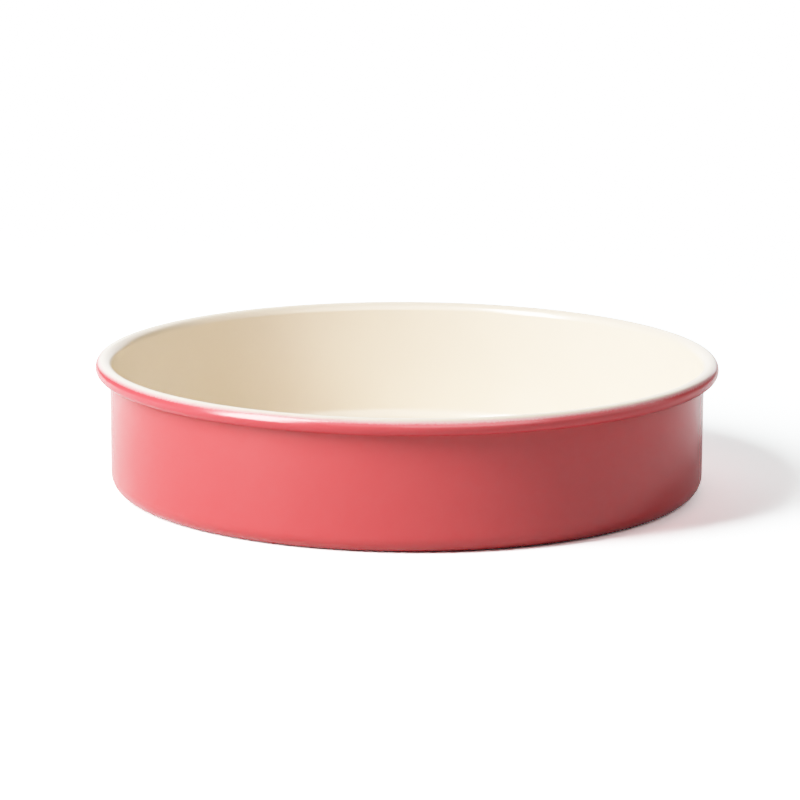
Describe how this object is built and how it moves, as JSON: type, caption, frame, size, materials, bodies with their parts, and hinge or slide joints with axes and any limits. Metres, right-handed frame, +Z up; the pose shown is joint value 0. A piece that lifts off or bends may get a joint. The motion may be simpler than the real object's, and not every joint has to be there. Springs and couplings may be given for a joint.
{
  "type": "round cake pan",
  "caption": "Round straight-sided cake pan: drawn steel with a wired rolled rim, a cream non-stick film inside and a coral film outside.",
  "frame": {"origin": "centre of the base's underside, on the surface the pan stands on", "axes": "+Z up along the pan's axis; the pan is round, so X and Y are free"},
  "size_m": [0.2414, 0.2414, 0.0508],
  "materials": {
    "drawn_steel": "satin",
    "wire_steel": "satin",
    "cream_film": "satin",
    "coral_film": "satin"
  },
  "bodies": {
    "root": {"pan_shell": "drawn_steel", "rim_wire": "wire_steel", "inside_coating": "cream_film", "rim_coating": "coral_film", "outside_coating": "coral_film"}
  },
  "joints": []
}
